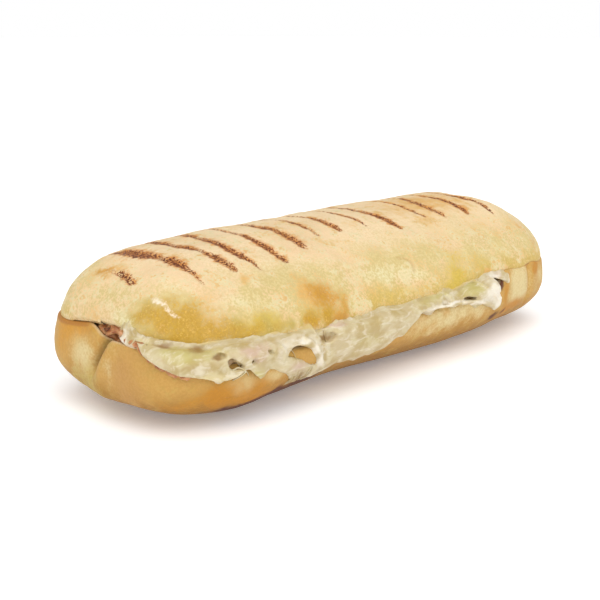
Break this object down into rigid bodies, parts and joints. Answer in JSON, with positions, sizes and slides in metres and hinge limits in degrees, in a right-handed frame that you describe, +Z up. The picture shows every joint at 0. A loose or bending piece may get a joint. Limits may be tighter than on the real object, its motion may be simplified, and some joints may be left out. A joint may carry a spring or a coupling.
{
  "type": "panini",
  "caption": "Pressed and toasted sandwich roll with two slices of ham and melted cheese running out over the front, and grill stripes across its rounded top.",
  "frame": {"origin": "middle of the flat face that the roll rests on", "axes": "+X along the roll towards its right-hand end as seen from the cheese side, -Y towards the cheese side, +Z up"},
  "size_m": [0.2224, 0.0985, 0.0566],
  "materials": {
    "upper_crust": "dry, matte toasted bread crust with charred stripes",
    "lower_crust": "dry, matte golden bread crust, darker towards the base",
    "ham": "moist cooked ham, satin",
    "melted_cheese": "soft melted cheese, slightly glossy and a little translucent"
  },
  "bodies": {
    "root": {"bun_bottom": "lower_crust", "ham_lower": "ham", "ham_upper": "ham", "cheese_melted": "melted_cheese", "bun_top": "upper_crust"}
  },
  "joints": []
}
